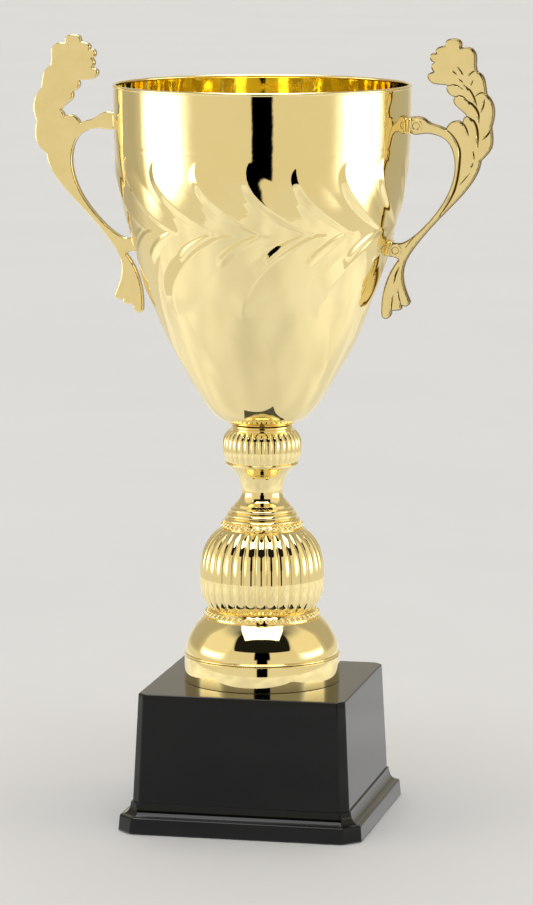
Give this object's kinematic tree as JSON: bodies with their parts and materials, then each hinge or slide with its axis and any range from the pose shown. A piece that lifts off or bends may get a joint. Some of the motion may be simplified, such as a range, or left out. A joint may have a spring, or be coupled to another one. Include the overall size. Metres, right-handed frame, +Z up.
{
  "type": "cup trophy",
  "caption": "Two-handled presentation cup with an embossed bowl and leaf-scroll handles, on a ribbed column and a black moulded plinth.",
  "frame": {"origin": "centre of the plinth's underside, on the table", "axes": "+Z up along the tie rod, handles along +X and -X, front face of the plinth towards -Y"},
  "size_m": [0.2202, 0.1402, 0.37],
  "materials": {
    "plated_bowl": "polished gold plating on sheet metal",
    "plated_casting": "gold plating on a die casting",
    "metallised_plastic": "gold metallised, mirror bright",
    "black_plastic": "high gloss moulded black",
    "steel": "zinc plated",
    "ballast_iron": "raw cast",
    "hardboard": "pressed fibre board",
    "felt": "short pressed felt"
  },
  "bodies": {
    "root": {"bowl": "plated_bowl", "handle_right": "plated_casting", "handle_left": "plated_casting", "handle_screws": "steel", "handle_washers": "steel", "bowl_nut": "steel", "bowl_washer": "steel", "tie_rod": "steel", "knob": "metallised_plastic", "neck_spool": "metallised_plastic", "stepped_collar": "metallised_plastic", "ribbed_ball": "metallised_plastic", "bead_collar": "metallised_plastic", "foot_dome": "metallised_plastic", "foot_ring": "metallised_plastic", "plinth": "black_plastic", "ballast": "ballast_iron", "base_washer": "steel", "base_nut": "steel", "base_board": "hardboard", "felt_pad": "felt"}
  },
  "joints": []
}
